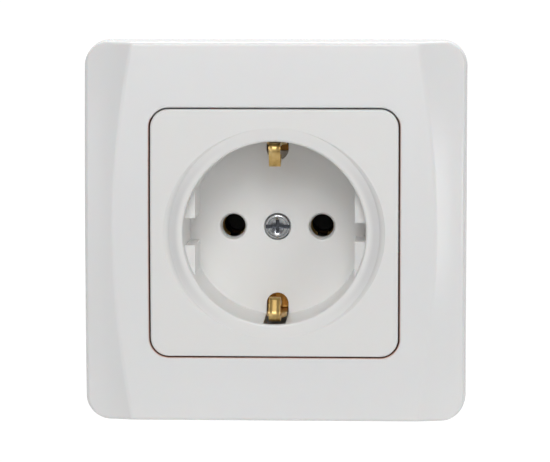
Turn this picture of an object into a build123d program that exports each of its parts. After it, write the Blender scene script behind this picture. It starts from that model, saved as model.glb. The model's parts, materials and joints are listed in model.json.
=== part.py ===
from build123d import *
import math
import os

# Flush wall socket with side earth clips, in millimetres.
# X is to the right, Z is up and +Y goes into the wall. Y = 0 is the wall's surface.
# The origin is the middle of the fixing screws, on the wall's surface.

# Cover frame
FRAME_SIZE = 80.3
FRAME_DRAFT_DEG = 4.0
FRAME_CORNER_R = 5.4
FRAME_HEIGHT = 10.0
FRAME_SKIN = 2.0
FRAME_EDGE_R = 0.9
FACE_ARCH_R = 268.0
WING_ARCH_R = 171.0
WING_COVE_R = 36.0
WING_WIDTH = 6.55
WING_SLOPE_DEG = 21.0
CREASE_R = 2.0
WING_OVERRUN = 7.0
WINDOW_EDGE_R = 0.3
WINDOW_WALL = 1.8
LEDGE_WIDTH = 2.0
LEDGE_THICKNESS = 2.0
SCREW_RELIEF_WIDTH = 9.0
SCREW_RELIEF_HEIGHT = 3.0

# Socket insert
INSERT_SIZE = 51.6
INSERT_CORNER_R = 3.8
INSERT_PROUD = 0.4
INSERT_PLATE = 2.2
INSERT_SKIRT = 1.5
INSERT_EDGE_R = 0.45
LAND_R = 21.9
LAND_STEP_DEG = 37.0
WELL_RIM_R = 19.1
WELL_FLOOR_R = 18.8
WELL_DEPTH = 17.5
WELL_RIM_EDGE_R = 0.5
CUP_WALL = 1.6
CUP_FLOOR = 2.0

# Guides inside the well
GUIDE_FLAT_X = 16.7
GUIDE_DROP = 3.5
GUIDE_NOTCH_LEFT = 5.7
GUIDE_NOTCH_RIGHT = 4.0

# Plug pins and their sleeves
PIN_SPACING = 19.0
PIN_HOLE_R = 2.5
PIN_FUNNEL_WIDTH = 0.35
PIN_FUNNEL_DEPTH = 2.0
PIN_BEVEL_WIDTH = 0.3
PIN_BEVEL_DEPTH = 0.2
PIN_BOSS_WALL = 1.1
PIN_BOSS_LENGTH = 2.0
SLEEVE_BORE_R = 2.3
SLEEVE_WALL = 0.6
SLEEVE_BAND = 3.2
SLEEVE_SLIT = 2.2
SLEEVE_MOUTH = 0.35
SLEEVE_GAP = 0.8
SLEEVE_BACK_GAP = 2.6

# Earth clips, folded with their bridge from one strip
STRIP_THICKNESS = 0.8
STRIP_LEG_WIDTH = 4.2
STRIP_BRIDGE_WIDTH = 8.4
STRIP_LEG_R = 18.3
STRIP_BEND_R = 0.9
TONGUE_WIDTH = 2.4
TONGUE_FOLD_R = 16.9
TONGUE_APEX_R = 13.9
TONGUE_APEX_DROP = 3.8
TONGUE_TIP_R = 15.6
TONGUE_TIP_DROP = 8.6
LEG_FLARE_START_DROP = 9.4
LEG_FLARE_END_DROP = 12.6
CLIP_TOP_DROP = 1.9
CLIP_SLOT_WIDTH = 4.7
CLIP_SLOT_START_R = 14.2
CLIP_SLOT_DROP = 1.2
COLLAR_R = 2.5
COLLAR_LENGTH = 2.4
TAB_WIDTH = 4.4
TAB_INSET = 6.0

# Centre screw that holds the insert
COVER_SCREW_R = 1.5
COVER_SCREW_LENGTH = 13.0
COVER_HEAD_R = 2.6
COVER_HEAD_HEIGHT = 1.7
COVER_HEAD_EDGE_R = 0.4
HEAD_DISH_R = 2.0
HEAD_DISH_DEPTH = 0.6
DRIVE_WIDTH = 0.85
DRIVE_CROSS_SPAN = 3.0
DRIVE_DEPTH = 1.45
DRIVE_SLOT_DEPTH = 0.8
DRIVE_TAPER_DEG = 8.0
HEAD_RECESS_DEPTH = 1.2
HEAD_RECESS_GAP = 0.3

# Support plate and its rivets
PLATE_CORNER_R = 4.0
PLATE_THICKNESS = 1.2
PLATE_RIM_GAP = 0.6
PLATE_HOLE_GAP = 0.8
BOX_SCREW_SPACING = 60.0
BOX_SLOT_R = 1.8
BOX_SLOT_LENGTH = 6.0
RIVET_R = 1.4
RIVET_HEAD_R = 2.3
RIVET_HEAD_HEIGHT = 0.9
RIVET_DOME_R = 0.5
RIVET_MARGIN = 1.5

# Contact base and rear cover
BASE_SIZE = 46.0
FLANGE_THICKNESS = 4.0
FLANGE_MARGIN = 0.7
BASE_DEPTH = 30.0
BASE_FRONT_WALL = 1.9
UPPER_SLOT_R = 16.1
COVER_THICKNESS = 2.0
COVER_INSET = 0.4
POST_WIDTH = 6.0
POST_THICKNESS = 3.0
POST_TOP_Z = 9.0
POST_BOTTOM_Z = -8.0

# Terminals
BLOCK_SIZE = 6.6
BLOCK_LENGTH = 10.0
BLOCK_CHAMFER = 0.4
EARTH_BLOCK_INSET = 7.4
WIRE_BORE_R = 1.8
WIRE_BORE_DEPTH = 8.6
WIRE_FUNNEL_R = 2.8
CLAMP_SCREW_R = 1.6
CLAMP_HEAD_R = 2.5
CLAMP_HEAD_HEIGHT = 1.8
CLAMP_HEAD_GAP = 0.4
CLAMP_SLOT_WIDTH = 0.7
CLAMP_SLOT_DEPTH = 0.9
ACCESS_HOLE_R = 3.0
TAIL_THICKNESS = 0.8
TAIL_WIDTH = 5.0

# Rear cover screws
REAR_SCREW_INSET = 3.4
REAR_SCREW_R = 1.3
REAR_SCREW_LENGTH = 9.0
REAR_HEAD_R = 2.3
REAR_HEAD_HEIGHT = 1.4
REAR_HEAD_EDGE_R = 0.4

# Clearances
WINDOW_GAP = 0.3
SEAT_GAP = 0.1
CUP_GAP = 0.3
POCKET_GAP = 0.2
HOLE_GAP = 0.2
THREAD_GAP = 0.05
STRIP_GAP = 0.2
SHAFT_GAP = 0.1
TAIL_GAP = 0.4

# How far a cutter or an uncut block runs past what it shapes
OVERCUT = 1.0

# How far a cutter or an uncut block runs past what it shapes
OVERCUT = 1.0

# Places worked out from the sizes above
WING_START_X = FRAME_SIZE / 2 - WING_WIDTH
LAND_Y = -(FRAME_HEIGHT + INSERT_PROUD) + LAND_R**2 / (2 * (FACE_ARCH_R + INSERT_PROUD))
FLOOR_Y = LAND_Y + WELL_DEPTH
FLOOR_BACK_Y = FLOOR_Y + CUP_FLOOR
CUP_OUTER_R = WELL_RIM_R + CUP_WALL
SEAT_Y = FLOOR_BACK_Y + SEAT_GAP
PLATE_SIZE = FRAME_SIZE - 2 * (FRAME_SKIN + PLATE_RIM_GAP)
PLATE_HOLE_R = CUP_OUTER_R + PLATE_HOLE_GAP
RIVET_PLACE_R = PLATE_HOLE_R + RIVET_HEAD_R + RIVET_MARGIN
RIVET_X = RIVET_PLACE_R / math.sqrt(2)
FLANGE_CHAMFER = BASE_SIZE - math.sqrt(2) * (RIVET_PLACE_R + RIVET_HEAD_R + FLANGE_MARGIN)
BODY_CHAMFER = BASE_SIZE - math.sqrt(2) * (RIVET_PLACE_R - RIVET_HEAD_R - TAIL_GAP)
REAR_SCREW_X = (BASE_SIZE - BODY_CHAMFER) / 2 - REAR_SCREW_INSET
EARTH_BLOCK_Z = EARTH_BLOCK_INSET - BASE_SIZE / 2
STRIP_BRIDGE_WIDE_END = BASE_SIZE / 2 - TAB_INSET
BRIDGE_FRONT_Y = SEAT_Y + BASE_FRONT_WALL
BRIDGE_MIDDLE_Y = BRIDGE_FRONT_Y + STRIP_THICKNESS / 2
BRIDGE_BACK_Y = BRIDGE_FRONT_Y + STRIP_THICKNESS
BOSS_END_Y = FLOOR_BACK_Y + PIN_BOSS_LENGTH
PIN_BOSS_R = PIN_HOLE_R + PIN_BOSS_WALL
SLEEVE_START_Y = BOSS_END_Y + SLEEVE_GAP
SLEEVE_END_Y = BASE_DEPTH - SLEEVE_BACK_GAP
SLEEVE_R = SLEEVE_BORE_R + SLEEVE_WALL
PIN_X = PIN_SPACING / 2
WINDOW_SIZE = INSERT_SIZE + 2 * WINDOW_GAP
WINDOW_R = INSERT_CORNER_R + WINDOW_GAP
LEDGE_BACK_Y = -(PLATE_THICKNESS + POCKET_GAP)
LEDGE_FRONT_Y = LEDGE_BACK_Y - LEDGE_THICKNESS
CLIP_FRONT_Y = LAND_Y + CLIP_TOP_DROP
BLOCK_END_Y = BASE_DEPTH - POCKET_GAP
BLOCK_START_Y = BLOCK_END_Y - BLOCK_LENGTH
CLAMP_Y = BLOCK_START_Y + BLOCK_LENGTH / 2
HEAD_SEAT_Y = FLOOR_Y + HEAD_RECESS_DEPTH
CHAMBER_Y = BOSS_END_Y + SEAT_GAP
SIDE_BLOCK_X = PIN_X + SLEEVE_R + TAIL_THICKNESS / 2 + SHAFT_GAP + BLOCK_SIZE / 2


def disc(radius, start_y, end_y, x=0.0, z=0.0):
    """Round bar along Y between two depths."""
    return Pos(x, end_y, z) * extrude(Plane.XZ * Circle(radius), end_y - start_y)


def bar(width, height, start_y, end_y, x=0.0, z=0.0, corner=0.0):
    """Bar of rectangular section along Y, with its long corners rounded where asked."""
    outline = RectangleRounded(width, height, corner) if corner else Rectangle(width, height)
    return Pos(x, end_y, z) * extrude(Plane.XZ * outline, end_y - start_y)


def chamfered_bar(size, chamfer_size, start_y, end_y):
    """Square bar along Y with its four long corners cut off."""
    outline = chamfer(Rectangle(size, size).vertices(), chamfer_size)
    return Pos(0, end_y, 0) * extrude(Plane.XZ * outline, end_y - start_y)


def turned(points):
    """Solid turned about the Y axis from corner points given as radius and depth."""
    return revolve(make_face(Polyline(*points, close=True)), Axis.Y)


def both_sides(solid):
    """The solid and its mirror image on the left."""
    return solid + mirror(solid, about=Plane.YZ)


def arch(radius, crown_y):
    """Barrel whose axis lies along X, with its crown towards the room at crown_y."""
    barrel = extrude(Plane.YZ * Circle(radius), FRAME_SIZE, both=True)
    return Pos(0, crown_y + radius, 0) * barrel


def wing_cutter(inset):
    """Space above the right wing: a cove swung about a tighter arch than the face."""
    lean = math.radians(WING_SLOPE_DEG)
    cove_x = WING_START_X + WING_COVE_R * math.sin(lean)
    cove_y = -FRAME_HEIGHT - WING_COVE_R * math.cos(lean)
    cove = Pos(cove_x, cove_y) * Circle(WING_COVE_R + inset)
    reach = FRAME_SIZE / 2 - WING_START_X + WING_OVERRUN
    window = Pos(WING_START_X, -FRAME_HEIGHT) * Rectangle(2 * reach, 2 * WING_OVERRUN)
    swing_axis = Axis((0, WING_ARCH_R - FRAME_HEIGHT, 0), (1, 0, 0))
    swing = 2 * math.degrees(math.asin((FRAME_SIZE / 2 + WING_OVERRUN) / WING_ARCH_R))
    return revolve(cove & window, swing_axis, swing).rotate(swing_axis, -swing / 2)


def front_body(inset):
    """Solid under the frame's face and wings, every surface drawn in by the inset."""
    side = FRAME_SIZE - 2 * inset
    outline = RectangleRounded(side, side, FRAME_CORNER_R - inset)
    depth = FRAME_HEIGHT + OVERCUT + inset
    block = Pos(0, inset, 0) * extrude(Plane.XZ * outline, depth, taper=FRAME_DRAFT_DEG)
    body = block & arch(FACE_ARCH_R - inset, inset - FRAME_HEIGHT)
    return body - both_sides(wing_cutter(inset))


def is_crease(edge):
    """True for the long edges where the wings leave the face."""
    box = edge.bounding_box()
    return box.size.Z > FRAME_SIZE / 2 and abs(box.center().X) < WING_START_X


def is_front_outline(edge):
    """True for the edges round the front of the frame's outer walls."""
    box = edge.bounding_box()
    centre = box.center()
    on_wall = max(abs(centre.X), abs(centre.Z)) > FRAME_SIZE / 2 - FRAME_CORNER_R / 2
    return on_wall and box.max.Y < -SEAT_GAP


def is_window_mouth(edge):
    """True for the front edges of the frame's window."""
    box = edge.bounding_box()
    half = WINDOW_SIZE / 2 + SEAT_GAP
    reach = max(box.max.X, box.max.Z, -box.min.X, -box.min.Z)
    return reach < half and box.max.Y < LEDGE_FRONT_Y - OVERCUT


def cover_frame():
    outside = front_body(0)
    outside = fillet(outside.edges().filter_by(is_crease), CREASE_R)
    outside = fillet(outside.edges().filter_by(is_front_outline), FRAME_EDGE_R)
    wall_size = WINDOW_SIZE + 2 * WINDOW_WALL
    wall = bar(wall_size, wall_size, -FRAME_HEIGHT, LEDGE_BACK_Y, corner=WINDOW_R + WINDOW_WALL)
    frame = outside - front_body(FRAME_SKIN) + (wall & front_body(FRAME_SKIN / 2))
    frame -= bar(WINDOW_SIZE, WINDOW_SIZE, -FRAME_HEIGHT - OVERCUT, LEDGE_FRONT_Y, corner=WINDOW_R)
    throat = WINDOW_SIZE - 2 * LEDGE_WIDTH
    frame -= bar(throat, throat, LEDGE_FRONT_Y, LEDGE_BACK_Y, corner=WINDOW_R - LEDGE_WIDTH)
    frame = fillet(frame.edges().filter_by(is_window_mouth), WINDOW_EDGE_R)
    relief_span = BOX_SCREW_SPACING + SCREW_RELIEF_WIDTH
    relief_start = LEDGE_BACK_Y - SCREW_RELIEF_HEIGHT
    frame -= bar(relief_span, SCREW_RELIEF_WIDTH, relief_start, LEDGE_BACK_Y)
    frame -= bar(SCREW_RELIEF_WIDTH, relief_span, relief_start, LEDGE_BACK_Y)
    return frame


def insert_face():
    """Arched face plate with its skirt, and the flat land sunk round the well."""
    crown_y = -FRAME_HEIGHT - INSERT_PROUD
    skirt_end = LEDGE_FRONT_Y - SEAT_GAP
    radius = FACE_ARCH_R + INSERT_PROUD
    face = bar(INSERT_SIZE, INSERT_SIZE, crown_y - OVERCUT, skirt_end, corner=INSERT_CORNER_R)
    face &= arch(radius, crown_y)
    rim = face.edges().filter_by(lambda e: e.bounding_box().max.Y < skirt_end - OVERCUT)
    face = fillet(rim, INSERT_EDGE_R)
    inside = INSERT_SIZE - 2 * INSERT_SKIRT
    hollow = bar(inside, inside, crown_y, skirt_end, corner=INSERT_CORNER_R - INSERT_SKIRT)
    face -= hollow & arch(radius - INSERT_PLATE, crown_y + INSERT_PLATE)
    return face


def land_cutter():
    """Space over the land, with a sloping step where the arched face stands higher."""
    rise = 2 * INSERT_PLATE
    run = rise / math.tan(math.radians(LAND_STEP_DEG))
    return turned([
        (0, LAND_Y),
        (LAND_R, LAND_Y),
        (LAND_R + run, LAND_Y - rise),
        (0, LAND_Y - rise),
    ])


def well_cup():
    """Blank of the cup, closed at the floor."""
    return disc(CUP_OUTER_R, LAND_Y, FLOOR_BACK_Y)


def well_space():
    """Space inside the well, a little tapered, with a flare that rounds its rim."""
    rim_x = WELL_RIM_R + WELL_RIM_EDGE_R
    rim_y = LAND_Y + WELL_RIM_EDGE_R
    rim = CenterArc((rim_x, rim_y), WELL_RIM_EDGE_R, 180, 90)
    rest = Polyline(
        (rim_x, LAND_Y),
        (rim_x, LAND_Y - INSERT_PLATE),
        (0, LAND_Y - INSERT_PLATE),
        (0, FLOOR_Y),
        (WELL_FLOOR_R, FLOOR_Y),
        (WELL_RIM_R, rim_y),
    )
    return revolve(make_face([rim, rest]), Axis.Y)


def well_guides():
    """Flats at both sides of the well, each with the groove that guides the plug."""
    guides = disc(WELL_RIM_R + SEAT_GAP, LAND_Y + GUIDE_DROP, FLOOR_BACK_Y)
    guides -= bar(2 * GUIDE_FLAT_X, 2 * CUP_OUTER_R, LAND_Y, FLOOR_BACK_Y)
    guides -= bar(CUP_OUTER_R, GUIDE_NOTCH_LEFT, LAND_Y, FLOOR_Y, x=-CUP_OUTER_R)
    guides -= bar(CUP_OUTER_R, GUIDE_NOTCH_RIGHT, LAND_Y, FLOOR_Y, x=CUP_OUTER_R)
    return guides


def clip_slot(width, start_r, end_r, start_y, end_y):
    """Upright slot below the middle, with a round end towards the middle."""
    round_z = -(start_r + width / 2)
    straight = end_r + round_z
    slot = disc(width / 2, start_y, end_y, z=round_z)
    return slot + bar(width, straight, start_y, end_y, z=round_z - straight / 2)


def pin_hole_space():
    """One pin hole with its bevel and funnel, right of the middle."""
    funnel_r = PIN_HOLE_R + PIN_FUNNEL_WIDTH
    hole = turned([
        (0, FLOOR_Y),
        (funnel_r + PIN_BEVEL_WIDTH, FLOOR_Y),
        (funnel_r, FLOOR_Y + PIN_BEVEL_DEPTH),
        (PIN_HOLE_R, FLOOR_Y + PIN_FUNNEL_DEPTH),
        (PIN_HOLE_R, BOSS_END_Y),
        (0, BOSS_END_Y),
    ])
    return Pos(PIN_X, 0, 0) * hole


def socket_insert():
    insert = insert_face() + well_cup() - land_cutter() - well_space()
    insert += well_guides()
    insert += both_sides(disc(PIN_BOSS_R, FLOOR_BACK_Y, BOSS_END_Y, x=PIN_X))
    insert -= both_sides(pin_hole_space())
    insert -= disc(COVER_SCREW_R + HOLE_GAP, FLOOR_Y, FLOOR_BACK_Y)
    insert -= disc(COVER_HEAD_R + HEAD_RECESS_GAP, FLOOR_Y, HEAD_SEAT_Y)
    slot = clip_slot(
        CLIP_SLOT_WIDTH, CLIP_SLOT_START_R, CUP_OUTER_R, LAND_Y + CLIP_SLOT_DROP, FLOOR_BACK_Y
    )
    return insert - slot - mirror(slot, about=Plane.XY)


def cover_screw():
    """Pan head screw with a dished middle, a slot right across it and a deeper cross recess."""
    head_top = HEAD_SEAT_Y - COVER_HEAD_HEIGHT
    head = disc(COVER_HEAD_R, head_top, HEAD_SEAT_Y)
    front_edge = head.edges().filter_by(lambda e: e.center().Y < HEAD_SEAT_Y - SEAT_GAP)
    head = fillet(front_edge, COVER_HEAD_EDGE_R)
    dish_ball_r = (HEAD_DISH_R**2 + HEAD_DISH_DEPTH**2) / (2 * HEAD_DISH_DEPTH)
    head -= Pos(0, head_top + HEAD_DISH_DEPTH - dish_ball_r, 0) * Sphere(dish_ball_r)
    screw = head + disc(COVER_SCREW_R, HEAD_SEAT_Y, HEAD_SEAT_Y + COVER_SCREW_LENGTH)
    screw -= bar(2 * COVER_HEAD_R, DRIVE_WIDTH, head_top, head_top + DRIVE_SLOT_DEPTH)
    arm = Rectangle(DRIVE_WIDTH, DRIVE_CROSS_SPAN)
    cross = extrude(Plane.XZ * arm, -DRIVE_DEPTH, taper=DRIVE_TAPER_DEG)
    cross += extrude(Plane.XZ * Rot(0, 0, 90) * arm, -DRIVE_DEPTH, taper=DRIVE_TAPER_DEG)
    return screw - Pos(0, head_top, 0) * cross


def strip_route():
    """Middle line of the folded strip, from one spring tip to the other."""
    upper = [
        (BRIDGE_MIDDLE_Y, STRIP_LEG_R),
        (CLIP_FRONT_Y, STRIP_LEG_R),
        (CLIP_FRONT_Y, TONGUE_FOLD_R),
        (LAND_Y + TONGUE_APEX_DROP, TONGUE_APEX_R),
        (LAND_Y + TONGUE_TIP_DROP, TONGUE_TIP_R),
    ]
    lower = [(y, -z) for y, z in reversed(upper)]
    return FilletPolyline(*(lower + upper), radius=STRIP_BEND_R)


def clip_outline():
    """Outline of one spring clip seen along Z: slender tongue and fold, wide leg at the back."""
    flare_start_y = LAND_Y + LEG_FLARE_START_DROP
    flare_end_y = LAND_Y + LEG_FLARE_END_DROP
    right = [
        (TONGUE_WIDTH / 2, LAND_Y),
        (TONGUE_WIDTH / 2, flare_start_y),
        (STRIP_LEG_WIDTH / 2, flare_end_y),
        (STRIP_LEG_WIDTH / 2, BRIDGE_BACK_Y),
    ]
    left = [(-x, y) for x, y in reversed(right)]
    return make_face(Polyline(*(right + left), close=True))


def earth_bracket():
    """Bridge with two folded clips, a threaded collar and a side tab, all one strip."""
    ribbon = trace(strip_route(), STRIP_THICKNESS)
    strip = extrude(Plane.YZ * ribbon, STRIP_BRIDGE_WIDTH / 2, both=True)
    keep = extrude(clip_outline(), STRIP_LEG_R + STRIP_THICKNESS, both=True)
    wide = 2 * STRIP_BRIDGE_WIDE_END
    keep += bar(STRIP_BRIDGE_WIDTH, wide, BRIDGE_FRONT_Y, BRIDGE_BACK_Y)
    bracket = strip & keep
    bracket += disc(COLLAR_R, BRIDGE_BACK_Y, BRIDGE_BACK_Y + COLLAR_LENGTH)
    bracket -= disc(COVER_SCREW_R + THREAD_GAP, BRIDGE_FRONT_Y, BRIDGE_BACK_Y + COLLAR_LENGTH)
    return bracket + earth_tab()


def earth_tab():
    """Tab folded back from the side of the bridge along the earth terminal."""
    outer_x = STRIP_BRIDGE_WIDTH / 2 - STRIP_THICKNESS / 2
    route = FilletPolyline(
        (0, BRIDGE_MIDDLE_Y),
        (outer_x, BRIDGE_MIDDLE_Y),
        (outer_x, BLOCK_END_Y - STRIP_THICKNESS),
        radius=STRIP_BEND_R,
    )
    tab = extrude(trace(route, STRIP_THICKNESS), TAB_WIDTH / 2, both=True)
    return Pos(0, 0, TAB_WIDTH / 2 - STRIP_BRIDGE_WIDE_END) * tab


def box_slots():
    """Four slots for the wall box's screws, each along its own radius."""
    slots = Part()
    for turn in range(4):
        slot = Pos(BOX_SCREW_SPACING / 2, 0) * SlotOverall(BOX_SLOT_LENGTH, 2 * BOX_SLOT_R)
        slots += extrude(Plane.XZ * Rot(0, 0, turn * 90) * slot, PLATE_THICKNESS)
    return slots


def at_corners(solid):
    """Copies of a solid at the four rivet places."""
    corners = Part()
    for x in (-RIVET_X, RIVET_X):
        for z in (-RIVET_X, RIVET_X):
            corners += Pos(x, 0, z) * solid
    return corners


def support_plate():
    plate = bar(PLATE_SIZE, PLATE_SIZE, -PLATE_THICKNESS, 0, corner=PLATE_CORNER_R)
    plate -= disc(PLATE_HOLE_R, -PLATE_THICKNESS, 0)
    plate -= box_slots()
    return plate - at_corners(disc(RIVET_R + THREAD_GAP, -PLATE_THICKNESS, 0))


def rivet():
    """Rivet through the plate and the base's flange, with its tail closed behind it."""
    head_y = -PLATE_THICKNESS
    shank = disc(RIVET_R, head_y, FLANGE_THICKNESS)
    head = disc(RIVET_HEAD_R, head_y - RIVET_HEAD_HEIGHT, head_y)
    head = fillet(head.edges().filter_by(lambda e: e.center().Y < head_y - SEAT_GAP), RIVET_DOME_R)
    tail = disc(RIVET_HEAD_R, FLANGE_THICKNESS, FLANGE_THICKNESS + RIVET_HEAD_HEIGHT)
    tail_end = tail.edges().filter_by(lambda e: e.center().Y > FLANGE_THICKNESS + SEAT_GAP)
    tail = chamfer(tail_end, RIVET_DOME_R)
    return shank + head + tail


def side_pocket():
    """Right chamber of the base: pin sleeve, terminal block and the screw's way in."""
    boss = disc(PIN_BOSS_R + POCKET_GAP, SEAT_Y, CHAMBER_Y, x=PIN_X)
    sleeve = disc(SLEEVE_R + POCKET_GAP, CHAMBER_Y, BASE_DEPTH, x=PIN_X)
    end_x = SIDE_BLOCK_X + BLOCK_SIZE / 2 + POCKET_GAP
    block = bar(
        end_x - PIN_X, BLOCK_SIZE + 2 * POCKET_GAP, BLOCK_START_Y - POCKET_GAP, BASE_DEPTH,
        x=(end_x + PIN_X) / 2,
    )
    access = Pos(SIDE_BLOCK_X, CLAMP_Y, 0) * extrude(Plane.YZ * Circle(ACCESS_HOLE_R), BASE_SIZE / 2)
    return boss + sleeve + block + access


def earth_channel():
    """Middle chamber of the base: bridge of the bracket and the earth terminal."""
    width = STRIP_BRIDGE_WIDTH + 2 * STRIP_GAP
    length = 2 * (STRIP_LEG_R + STRIP_THICKNESS / 2 + STRIP_GAP)
    channel = bar(width, length, BRIDGE_FRONT_Y, BASE_DEPTH)
    channel += bar(width, BLOCK_SIZE + 2 * POCKET_GAP, BRIDGE_FRONT_Y, BASE_DEPTH, z=EARTH_BLOCK_Z)
    access = Pos(0, CLAMP_Y, EARTH_BLOCK_Z) * extrude(Plane.XY * Circle(ACCESS_HOLE_R), -BASE_SIZE / 2)
    return channel + access


def rear_screw_holes(radius, start_y, end_y):
    """Both holes for the rear cover's screws, on one diagonal."""
    left = disc(radius, start_y, end_y, x=-REAR_SCREW_X, z=REAR_SCREW_X)
    right = disc(radius, start_y, end_y, x=REAR_SCREW_X, z=-REAR_SCREW_X)
    return left + right


def contact_base():
    base = chamfered_bar(BASE_SIZE, FLANGE_CHAMFER, 0, FLANGE_THICKNESS)
    base += chamfered_bar(BASE_SIZE, BODY_CHAMFER, FLANGE_THICKNESS, BASE_DEPTH)
    base -= disc(CUP_OUTER_R + CUP_GAP, 0, SEAT_Y)
    base -= at_corners(disc(RIVET_R + THREAD_GAP, 0, FLANGE_THICKNESS))
    base -= both_sides(side_pocket())
    base -= earth_channel()
    base -= disc(COVER_SCREW_R + HOLE_GAP, SEAT_Y, BRIDGE_FRONT_Y)
    leg_end_r = STRIP_LEG_R + STRIP_THICKNESS / 2 + STRIP_GAP
    base -= clip_slot(CLIP_SLOT_WIDTH, CLIP_SLOT_START_R, leg_end_r, SEAT_Y, BRIDGE_FRONT_Y)
    upper_height = leg_end_r - UPPER_SLOT_R
    upper_z = (leg_end_r + UPPER_SLOT_R) / 2
    base -= bar(CLIP_SLOT_WIDTH, upper_height, SEAT_Y, BRIDGE_FRONT_Y, z=upper_z)
    pilot_start = BASE_DEPTH + COVER_THICKNESS - REAR_SCREW_LENGTH - POCKET_GAP
    return base - rear_screw_holes(REAR_SCREW_R + THREAD_GAP, pilot_start, BASE_DEPTH)


def wire_hole(x, z):
    """Wire hole through the rear cover, widened to a funnel at the back."""
    end_y = BASE_DEPTH + COVER_THICKNESS
    hole_r = WIRE_BORE_R + HOLE_GAP
    hole = turned([
        (0, BASE_DEPTH),
        (hole_r, BASE_DEPTH),
        (hole_r, end_y - COVER_THICKNESS / 2),
        (WIRE_FUNNEL_R, end_y),
        (0, end_y),
    ])
    return Pos(x, 0, z) * hole


def rear_cover():
    end_y = BASE_DEPTH + COVER_THICKNESS
    cover = chamfered_bar(BASE_SIZE - 2 * COVER_INSET, BODY_CHAMFER, BASE_DEPTH, end_y)
    post_start = BRIDGE_BACK_Y + SEAT_GAP
    for post_z in (POST_TOP_Z, POST_BOTTOM_Z):
        cover += bar(POST_WIDTH, POST_THICKNESS, post_start, BASE_DEPTH, z=post_z)
    cover -= rear_screw_holes(REAR_SCREW_R + HOLE_GAP, BASE_DEPTH, end_y)
    cover -= wire_hole(0, EARTH_BLOCK_Z)
    return cover - both_sides(wire_hole(SIDE_BLOCK_X, 0))


def rear_screw():
    """Self-tapping screw of the rear cover, with a slotted cheese head."""
    seat_y = BASE_DEPTH + COVER_THICKNESS
    head_end = seat_y + REAR_HEAD_HEIGHT
    head = disc(REAR_HEAD_R, seat_y, head_end)
    head = fillet(head.edges().filter_by(lambda e: e.center().Y > seat_y + SEAT_GAP), REAR_HEAD_EDGE_R)
    screw = head + disc(REAR_SCREW_R, seat_y - REAR_SCREW_LENGTH, seat_y)
    return screw - bar(CLAMP_SLOT_WIDTH, 2 * REAR_HEAD_R, head_end - CLAMP_SLOT_DEPTH, head_end)


def line_contact():
    """Split pin sleeve with a closed band at its back and a tail along the terminal."""
    sleeve = disc(SLEEVE_R, SLEEVE_START_Y, SLEEVE_END_Y)
    sleeve -= disc(SLEEVE_BORE_R, SLEEVE_START_Y, SLEEVE_END_Y)
    mouth = turned([
        (0, SLEEVE_START_Y),
        (SLEEVE_BORE_R + SLEEVE_MOUTH, SLEEVE_START_Y),
        (SLEEVE_BORE_R, SLEEVE_START_Y + 2 * SLEEVE_MOUTH),
        (0, SLEEVE_START_Y + 2 * SLEEVE_MOUTH),
    ])
    slit = bar(SLEEVE_SLIT, 2 * SLEEVE_R, SLEEVE_START_Y, SLEEVE_END_Y - SLEEVE_BAND)
    tail = bar(
        TAIL_THICKNESS, TAIL_WIDTH, SLEEVE_END_Y - SLEEVE_BAND, BLOCK_END_Y - TAIL_THICKNESS, x=SLEEVE_R
    )
    return Pos(PIN_X, 0, 0) * (sleeve - mouth - slit + tail)


def terminal_block():
    """Brass block with a wire bore from the back and a screw hole from its right side."""
    block = bar(BLOCK_SIZE, BLOCK_SIZE, BLOCK_START_Y, BLOCK_END_Y)
    block = chamfer(block.edges().filter_by(Axis.Y), BLOCK_CHAMFER)
    block -= disc(WIRE_BORE_R, BLOCK_END_Y - WIRE_BORE_DEPTH, BLOCK_END_Y)
    thread = extrude(Plane.YZ * Circle(CLAMP_SCREW_R + THREAD_GAP), BLOCK_SIZE)
    return block - Pos(0, CLAMP_Y, 0) * thread


def terminal_screw():
    """Clamping screw of a terminal block, seen from the block's middle, along X."""
    seat_x = BLOCK_SIZE / 2 + CLAMP_HEAD_GAP
    end_x = seat_x + CLAMP_HEAD_HEIGHT
    tip_x = WIRE_BORE_R + SHAFT_GAP
    shank = Pos(tip_x, 0, 0) * extrude(Plane.YZ * Circle(CLAMP_SCREW_R), seat_x - tip_x)
    head = Pos(seat_x, 0, 0) * extrude(Plane.YZ * Circle(CLAMP_HEAD_R), CLAMP_HEAD_HEIGHT)
    head = fillet(head.edges().filter_by(lambda e: e.center().X > end_x - SEAT_GAP), REAR_HEAD_EDGE_R)
    slot = Pos(end_x - CLAMP_SLOT_DEPTH / 2, 0, 0) * Box(
        CLAMP_SLOT_DEPTH, 2 * CLAMP_HEAD_R, CLAMP_SLOT_WIDTH
    )
    return Pos(0, CLAMP_Y, 0) * (shank + head - slot)


def at_line(solid):
    """Moves a terminal's piece to the right of the base."""
    return Pos(SIDE_BLOCK_X, 0, 0) * solid


def at_neutral(solid):
    """Mirrors a terminal's piece to the left of the base."""
    return mirror(at_line(solid), about=Plane.YZ)


def at_earth(solid):
    """Turns a terminal's piece so that its screw points down, below the middle."""
    return Pos(0, 0, EARTH_BLOCK_Z) * Rot(0, 90, 0) * solid


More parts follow.
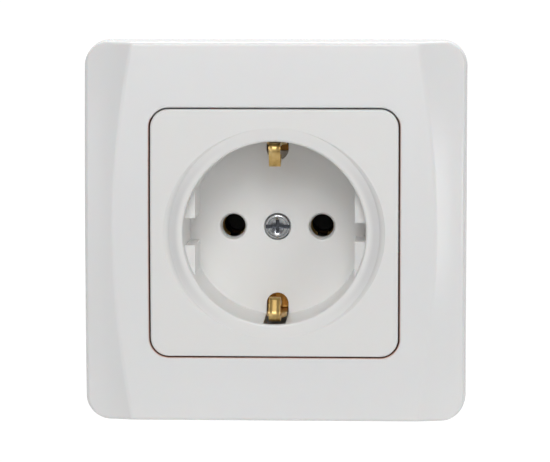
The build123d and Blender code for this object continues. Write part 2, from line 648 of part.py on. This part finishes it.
def build_parts():
    """All sub-parts by name."""
    parts = {
        "cover_frame": cover_frame(),
        "socket_insert": socket_insert(),
        "cover_screw": cover_screw(),
        "earth_bracket": earth_bracket(),
        "support_plate": support_plate(),
        "contact_base": contact_base(),
        "rear_cover": rear_cover(),
        "line_contact": line_contact(),
        "neutral_contact": mirror(line_contact(), about=Plane.YZ),
        "line_terminal": at_line(terminal_block()),
        "neutral_terminal": at_neutral(terminal_block()),
        "earth_terminal": at_earth(terminal_block()),
        "line_terminal_screw": at_line(terminal_screw()),
        "neutral_terminal_screw": at_neutral(terminal_screw()),
        "earth_terminal_screw": at_earth(terminal_screw()),
        "rear_cover_screw_left": Pos(-REAR_SCREW_X, 0, REAR_SCREW_X) * rear_screw(),
        "rear_cover_screw_right": Pos(REAR_SCREW_X, 0, -REAR_SCREW_X) * rear_screw(),
    }
    for side, x in (("left", -RIVET_X), ("right", RIVET_X)):
        for level, z in (("lower", -RIVET_X), ("upper", RIVET_X)):
            parts[f"plate_rivet_{level}_{side}"] = Pos(x, 0, z) * rivet()
    return parts


os.makedirs("parts", exist_ok=True)
for name, part in build_parts().items():
    part.label = name
    export_step(part, f"parts/{name}.step")
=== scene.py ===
import json
import math

import bpy
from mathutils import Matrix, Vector

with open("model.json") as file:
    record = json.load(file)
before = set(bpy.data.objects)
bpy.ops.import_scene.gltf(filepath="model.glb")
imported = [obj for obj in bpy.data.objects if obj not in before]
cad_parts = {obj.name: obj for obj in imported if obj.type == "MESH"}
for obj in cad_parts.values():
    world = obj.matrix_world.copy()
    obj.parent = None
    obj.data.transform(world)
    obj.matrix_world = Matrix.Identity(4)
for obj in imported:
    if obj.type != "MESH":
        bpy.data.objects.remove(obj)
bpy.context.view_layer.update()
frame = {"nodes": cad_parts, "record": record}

# Camera, worked out from the shift between the well's mouth and its floor
CAMERA_DISTANCE = 0.600
CAMERA_ELEVATION = math.radians(5.0)
CAMERA_AZIMUTH = math.radians(2.5)
CAMERA_LENS = 189.0
CAMERA_CLIP_START = 0.01
CAMERA_AIM = Vector((0.0002, -0.0095, 0.00055))

# Square soft lights: power in watts, side and place in metres
LIGHTS = {
    "top_light": (5.2, 0.5, (0.0, -0.9, 0.65)),
    "right_light": (2.0, 0.42, (0.85, -0.8, -0.02)),
    "left_light": (0.6, 0.45, (-0.6, -1.0, 0.1)),
    "front_light": (1.1, 0.6, (0.0, -1.1, 0.3)),
    "rim_light": (6.8, 0.5, (0.0, 0.45, 1.0)),
}

# White surroundings: how strongly they light from the front and from behind, the direction's Y
# at which the back strength is reached, and how bright the camera sees them
FRONT_LIGHT = 0.18
BACK_LIGHT = 0.75
BACK_LIGHT_FROM = 0.25
SEEN_WHITE = 1.05

# Depths of the bumps: orange peel and grain of the white plastic, drawn streaks and pits of the
# brass, scuffs of the zinc and spark-eroded grain of the matt plastic
PEEL_DEPTH = 0.000008
GRAIN_DEPTH = 0.000002
STREAK_DEPTH = 0.00001
PIT_DEPTH = 0.000008
SCUFF_DEPTH = 0.000006
SPARK_DEPTH = 0.00002

# How light enters the white plastic
SUBSURFACE_WEIGHT = 0.2
SUBSURFACE_SCALE = 0.002
SUBSURFACE_RADIUS = (1.0, 0.6, 0.45)

# Dish of the clips' tongues: where it begins and ends either side of the middle, and its depth
DISH_START = 0.0003
DISH_END = 0.0012
DISH_DEPTH = 0.00022

# Depths between which painted shade darkens the screw's recess, the pin sleeves and the clips, and
# its tints
SCREW_SHADE_DEPTHS = (0.00755, 0.0082)
SCREW_SHADE_TINT = (0.28, 0.29, 0.32)
SLEEVE_SHADE_DEPTHS = (0.0155, 0.0185)
SLEEVE_SHADE_TINT = (0.04, 0.03, 0.02)
CLIP_SHADE_DEPTHS = (0.002, 0.010)
CLIP_SHADE_TINT = (0.62, 0.45, 0.28)

# Seam between insert and frame: half its side, its corner, how far its painted warm shadow reaches,
# the depth where the shadow begins at mid height, how the arched face falls back by the square
# of the height, and the heights between which the painted shadow fades out at the top
SEAM_HALF = 0.02595
SEAM_CORNER = 0.00395
SEAM_REACH = 0.0003
SEAM_TOP_Y = -0.0101
FACE_ARCH = 1.864
SEAM_PALE = (0.0235, 0.0245)
SEAM_SHADOW_TINT = (0.62, 0.36, 0.28)

# Soft shade of the cove around the well: radii where it rises and falls, the heights between
# which it fades as the arched face comes down to the flat, and the depths where it ends
COVE_RISE = (0.0197, 0.0209)
COVE_FALL = (0.0217, 0.0227)
COVE_FADE = (0.004, 0.021)
COVE_BACK = (-0.0090, -0.0085)
COVE_TINT = (0.81, 0.81, 0.82)

FLOOR_Z = -0.15
FLOOR_RADIUS = 0.25
FLOOR_VERTICES = 96


def node_tree(name):
    """New material with its node tree and its surface shader."""
    material = bpy.data.materials.new(name)
    material.use_nodes = True
    tree = material.node_tree
    return material, tree, tree.nodes["Principled BSDF"]


def add(tree, kind, **values):
    """New node with its input values or settings filled in."""
    node = tree.nodes.new(kind)
    for key, value in values.items():
        if key in node.inputs:
            node.inputs[key].default_value = value
        else:
            setattr(node, key.lower(), value)
    return node


def filled(tree, kind, operation, values):
    """New node for an operation whose inputs are sockets or plain values."""
    node = add(tree, kind, Operation=operation)
    for place, value in enumerate(values):
        if isinstance(value, bpy.types.NodeSocket):
            tree.links.new(value, node.inputs[place])
        else:
            node.inputs[place].default_value = value
    return node


def number(tree, operation, *values):
    """Result of an operation on numbers."""
    return filled(tree, "ShaderNodeMath", operation, values).outputs["Value"]


def vector(tree, operation, *values):
    """Result of an operation on vectors."""
    return filled(tree, "ShaderNodeVectorMath", operation, values).outputs["Vector"]


def length(tree, value):
    """Length of a vector."""
    return filled(tree, "ShaderNodeVectorMath", "LENGTH", [value]).outputs["Value"]


def object_point(tree):
    """Coordinates in metres, fixed to the object."""
    return add(tree, "ShaderNodeTexCoord").outputs["Object"]


def coordinate(tree, axis):
    """One coordinate of the point, in metres."""
    split = add(tree, "ShaderNodeSeparateXYZ")
    tree.links.new(object_point(tree), split.inputs[0])
    return split.outputs[axis]


def flat_point(tree):
    """The point with its depth left out."""
    return vector(tree, "MULTIPLY", object_point(tree), (1.0, 0.0, 1.0))


def noise(tree, scale, detail=3.0, roughness=0.5, stretch=None):
    """Noise with features of about one over scale, in metres."""
    point = object_point(tree)
    if stretch:
        mapping = add(tree, "ShaderNodeMapping", Scale=stretch)
        tree.links.new(point, mapping.inputs["Vector"])
        point = mapping.outputs["Vector"]
    texture = add(tree, "ShaderNodeTexNoise", Scale=scale, Detail=detail, Roughness=roughness)
    tree.links.new(point, texture.inputs["Vector"])
    return texture.outputs["Fac"]


def ramp(tree, factor, stops):
    """Colour ramp driven by a factor."""
    node = add(tree, "ShaderNodeValToRGB")
    elements = node.color_ramp.elements
    while len(elements) < len(stops):
        elements.new(0.5)
    for element, (place, colour) in zip(elements, stops):
        element.position = place
        element.color = (*colour, 1.0)
    tree.links.new(factor, node.inputs["Fac"])
    return node.outputs["Color"]


def clouded(tree, factor, dark, light):
    """Colour that runs with a noise factor from dark to light."""
    return ramp(tree, factor, [(0.3, dark), (0.7, light)])


def spread(tree, factor, low, high):
    """Maps a noise factor to a range."""
    node = add(tree, "ShaderNodeMapRange")
    node.inputs["To Min"].default_value = low
    node.inputs["To Max"].default_value = high
    tree.links.new(factor, node.inputs["Value"])
    return node.outputs["Result"]


def step(tree, value, start, end, low=0.0, high=1.0):
    """Runs smoothly from low to high while the value goes from start to end."""
    result = spread(tree, value, low, high)
    result.node.interpolation_type = "SMOOTHSTEP"
    result.node.inputs["From Min"].default_value = start
    result.node.inputs["From Max"].default_value = end
    return result


def all_of(tree, shares):
    """Product of several shares."""
    product = shares[0]
    for share in shares[1:]:
        product = number(tree, "MULTIPLY", product, share)
    return product


def bump(tree, heights, shader):
    """Bump from several height fields, each given with its depth in metres."""
    normal = None
    for height, depth in heights:
        node = add(tree, "ShaderNodeBump", Strength=1.0, Distance=depth)
        tree.links.new(height, node.inputs["Height"])
        if normal:
            tree.links.new(normal, node.inputs["Normal"])
        normal = node.outputs["Normal"]
    tree.links.new(normal, shader.inputs["Normal"])


def tinted(material, share, tint):
    """Multiplies a material's base colour by a tint where the share is 1."""
    tree = material.node_tree
    base = tree.nodes["Principled BSDF"].inputs["Base Color"]
    tone = ramp(tree, share, [(0.0, (1.0, 1.0, 1.0)), (1.0, tint)])
    tree.links.new(vector(tree, "MULTIPLY", base.links[0].from_socket, tone), base)
    return material


def deepened(material, depths, tint):
    """The same material, with shade painted into its colour from one depth to another, as in the
    dark of a recess.
    """
    tree = material.node_tree
    return tinted(material, step(tree, coordinate(tree, "Y"), *depths), tint)


def seam_shadow_share(tree):
    """1 where warm shadow is painted in the seam between insert and frame, a rounded square but for
    its top, and 0 elsewhere.
    """
    inner = SEAM_HALF - SEAM_CORNER
    size = vector(tree, "ABSOLUTE", flat_point(tree))
    past = vector(tree, "SUBTRACT", size, (inner, 0.0, inner))
    reach = length(tree, vector(tree, "MAXIMUM", past, (0.0, 0.0, 0.0)))
    distance = number(tree, "ABSOLUTE", number(tree, "SUBTRACT", reach, SEAM_CORNER))
    height = coordinate(tree, "Z")
    square = number(tree, "MULTIPLY", height, height)
    depth = number(tree, "MULTIPLY_ADD", square, -FACE_ARCH, coordinate(tree, "Y"))
    pale_start, pale_end = SEAM_PALE
    return all_of(tree, [
        step(tree, distance, 2 * SEAM_REACH, SEAM_REACH),
        step(tree, depth, SEAM_TOP_Y, SEAM_TOP_Y + SEAM_REACH),
        step(tree, height, pale_end, pale_start),
    ])


def cove_share(tree):
    """1 in the cove at the left and right of the well, and 0 elsewhere."""
    radius = length(tree, flat_point(tree))
    height = number(tree, "ABSOLUTE", coordinate(tree, "Z"))
    shares = [step(tree, radius, *COVE_RISE)]
    ends = ((radius, COVE_FALL), (height, COVE_FADE), (coordinate(tree, "Y"), COVE_BACK))
    for value, (start, end) in ends:
        shares.append(step(tree, value, end, start))
    return all_of(tree, shares)


def gloss_plastic(name, light, dark, rough):
    """Moulded white plastic: faint flow marks in colour and gloss, slight orange peel, painted seam
    shadow.
    """
    material, tree, shader = node_tree(name)
    flow = noise(tree, 22.0, detail=2.0, roughness=0.4)
    tree.links.new(clouded(tree, flow, dark, light), shader.inputs["Base Color"])
    gloss = noise(tree, 60.0, detail=4.0)
    tree.links.new(spread(tree, gloss, *rough), shader.inputs["Roughness"])
    peel = noise(tree, 130.0, detail=2.0)
    grain = noise(tree, 900.0, detail=2.0)
    bump(tree, [(peel, PEEL_DEPTH), (grain, GRAIN_DEPTH)], shader)
    shader.inputs["IOR"].default_value = 1.5
    shader.inputs["Subsurface Weight"].default_value = SUBSURFACE_WEIGHT
    shader.inputs["Subsurface Scale"].default_value = SUBSURFACE_SCALE
    shader.inputs["Subsurface Radius"].default_value = SUBSURFACE_RADIUS
    # warm shadow painted into the colour in the seam between insert and frame, left out at the top
    return tinted(material, seam_shadow_share(tree), SEAM_SHADOW_TINT)


def insert_plastic():
    """White plastic of the insert, shaded in the cove around the well."""
    material = gloss_plastic("white_insert", (0.855, 0.85, 0.84), (0.84, 0.835, 0.825), (0.3, 0.36))
    return tinted(material, cove_share(material.node_tree), COVE_TINT)


def brass(name, dark, middle, light, rough):
    """Stamped brass: drawn streaks, brown tarnish in patches and a fairly sharp gloss."""
    material, tree, shader = node_tree(name)
    patches = noise(tree, 260.0, detail=5.0, roughness=0.6)
    colours = [(0.30, dark), (0.5, middle), (0.75, light)]
    tree.links.new(ramp(tree, patches, colours), shader.inputs["Base Color"])
    gloss = noise(tree, 500.0, detail=4.0)
    tree.links.new(spread(tree, gloss, *rough), shader.inputs["Roughness"])
    streaks = noise(tree, 300.0, detail=4.0, roughness=0.6, stretch=(12.0, 1.0, 1.0))
    bump(tree, [(streaks, STREAK_DEPTH), (noise(tree, 700.0), PIT_DEPTH)], shader)
    shader.inputs["Metallic"].default_value = 1.0
    return material


def clip_brass():
    """Brass of the spring clips, dished along the middle of the tongues, with brown shade painted
    in the depth.
    """
    material = brass(
        "clip_brass", (0.38, 0.22, 0.06), (0.66, 0.45, 0.17), (0.80, 0.61, 0.29), (0.34, 0.46)
    )
    tree = material.node_tree
    normal = tree.nodes["Principled BSDF"].inputs["Normal"]
    distance = number(tree, "ABSOLUTE", coordinate(tree, "X"))
    dish = add(tree, "ShaderNodeBump", Strength=1.0, Distance=DISH_DEPTH)
    tree.links.new(step(tree, distance, DISH_START, DISH_END), dish.inputs["Height"])
    tree.links.new(normal.links[0].from_socket, dish.inputs["Normal"])
    tree.links.new(dish.outputs["Normal"], normal)
    # brown shade painted into the clips' colour deep in the slots
    return deepened(material, CLIP_SHADE_DEPTHS, CLIP_SHADE_TINT)


def sleeve_brass():
    """Brass of the pin sleeves, with black shade painted in the depth."""
    material = brass(
        "sleeve_brass", (0.60, 0.42, 0.16), (0.78, 0.58, 0.26), (0.88, 0.72, 0.40), (0.35, 0.55)
    )
    # black shade painted into the sleeves' colour deep in the pin holes
    return deepened(material, SLEEVE_SHADE_DEPTHS, SLEEVE_SHADE_TINT)


def zinc(name):
    """Zinc plated steel: cool crystalline sheen with fine scuffs."""
    material, tree, shader = node_tree(name)
    patches = noise(tree, 700.0, detail=4.0, roughness=0.6)
    colours = [(0.25, (0.42, 0.43, 0.45)), (0.6, (0.66, 0.68, 0.70)), (0.8, (0.80, 0.82, 0.83))]
    tree.links.new(ramp(tree, patches, colours), shader.inputs["Base Color"])
    gloss = noise(tree, 1200.0, detail=4.0)
    tree.links.new(spread(tree, gloss, 0.12, 0.30), shader.inputs["Roughness"])
    bump(tree, [(noise(tree, 1500.0, detail=4.0), SCUFF_DEPTH)], shader)
    shader.inputs["Metallic"].default_value = 1.0
    return material


def matt_plastic(name, dark, light):
    """Moulded plastic with a fine spark-eroded grain."""
    material, tree, shader = node_tree(name)
    clouds = noise(tree, 60.0)
    tree.links.new(clouded(tree, clouds, dark, light), shader.inputs["Base Color"])
    tree.links.new(spread(tree, noise(tree, 300.0), 0.42, 0.6), shader.inputs["Roughness"])
    bump(tree, [(noise(tree, 1800.0), SPARK_DEPTH)], shader)
    return material


MATERIALS = {
    "white_cover": gloss_plastic(
        "white_cover", (0.86, 0.86, 0.86), (0.84, 0.84, 0.845), (0.2, 0.25)
    ),
    "white_insert": insert_plastic(),
    "zinc_steel": zinc("zinc_steel"),
    "brass": brass(
        "brass", (0.33, 0.19, 0.05), (0.62, 0.43, 0.16), (0.80, 0.62, 0.30), (0.2, 0.42)
    ),
    "grey_plastic": matt_plastic("grey_plastic", (0.50, 0.49, 0.46), (0.57, 0.56, 0.53)),
}
SLEEVE_BRASS = sleeve_brass()

# Nodes whose finish differs from the rest of their slot
OWN_MATERIALS = {
    "earth_bracket": clip_brass(),
    "line_contact": SLEEVE_BRASS,
    "neutral_contact": SLEEVE_BRASS,
    # shade painted into the screw's colour deep in its recess
    "cover_screw": deepened(zinc("screw_zinc"), SCREW_SHADE_DEPTHS, SCREW_SHADE_TINT),
    "rear_cover": matt_plastic("dark_plastic", (0.035, 0.035, 0.034), (0.05, 0.05, 0.048)),
}


def dress_nodes():
    """Gives each CAD node its own material or the one of its slot."""
    for subpart in frame["record"]["subparts"]:
        node = subpart["node"]
        mesh = frame["nodes"][node].data
        mesh.materials.clear()
        mesh.materials.append(OWN_MATERIALS.get(node, MATERIALS[subpart["material_slot"]]))


def look_at(thing, place, aim):
    """Puts a camera or light at a place and turns it to its aim."""
    thing.location = place
    thing.rotation_euler = (aim - place).to_track_quat("-Z", "Y").to_euler()
    bpy.context.scene.collection.objects.link(thing)


def make_camera():
    """Camera at the photograph's viewing angle."""
    data = bpy.data.cameras.new("camera")
    data.lens = CAMERA_LENS
    data.clip_start = CAMERA_CLIP_START
    camera = bpy.data.objects.new("camera", data)
    level = math.cos(CAMERA_ELEVATION)
    back = Vector((
        math.sin(CAMERA_AZIMUTH) * level,
        -math.cos(CAMERA_AZIMUTH) * level,
        math.sin(CAMERA_ELEVATION),
    ))
    look_at(camera, CAMERA_AIM + CAMERA_DISTANCE * back, CAMERA_AIM)
    bpy.context.scene.camera = camera


def make_light(name, power, size, place):
    """Square soft light aimed at the socket."""
    data = bpy.data.lights.new(name, "AREA")
    data.energy = power
    data.size = size
    look_at(bpy.data.objects.new(name, data), place, Vector((0, 0, 0)))


def make_world():
    """White surroundings that light the object well from behind and faintly from the front."""
    world = bpy.data.worlds.new("studio")
    bpy.context.scene.world = world
    world.use_nodes = True
    tree = world.node_tree
    tree.nodes.clear()
    seen = add(tree, "ShaderNodeBackground", Color=(1, 1, 1, 1), Strength=SEEN_WHITE)
    light = add(tree, "ShaderNodeBackground", Color=(1, 1, 1, 1))
    direction = add(tree, "ShaderNodeSeparateXYZ")
    tree.links.new(add(tree, "ShaderNodeTexCoord").outputs["Generated"], direction.inputs[0])
    strength = step(
        tree, direction.outputs["Y"], 0.0, BACK_LIGHT_FROM, low=FRONT_LIGHT, high=BACK_LIGHT
    )
    tree.links.new(strength, light.inputs["Strength"])
    path = add(tree, "ShaderNodeLightPath")
    mix = add(tree, "ShaderNodeMixShader")
    output = add(tree, "ShaderNodeOutputWorld")
    tree.links.new(path.outputs["Is Camera Ray"], mix.inputs[0])
    tree.links.new(light.outputs[0], mix.inputs[1])
    tree.links.new(seen.outputs[0], mix.inputs[2])
    tree.links.new(mix.outputs[0], output.inputs["Surface"])


def make_floor():
    """Plain pale floor below the object, out of the main view."""
    bpy.ops.mesh.primitive_circle_add(
        vertices=FLOOR_VERTICES, radius=FLOOR_RADIUS, fill_type="NGON", location=(0, 0, FLOOR_Z)
    )
    floor = bpy.context.object
    floor.name = "studio_floor"
    material, tree, shader = node_tree("studio_floor")
    colour = clouded(tree, noise(tree, 8.0), (0.70, 0.70, 0.69), (0.73, 0.73, 0.72))
    tree.links.new(colour, shader.inputs["Base Color"])
    shader.inputs["Roughness"].default_value = 0.8
    floor.data.materials.append(material)


dress_nodes()
make_camera()
for light_name, (power, size, place) in LIGHTS.items():
    make_light(light_name, power, size, Vector(place))
make_world()
make_floor()
bpy.context.scene.view_settings.view_transform = "Standard"
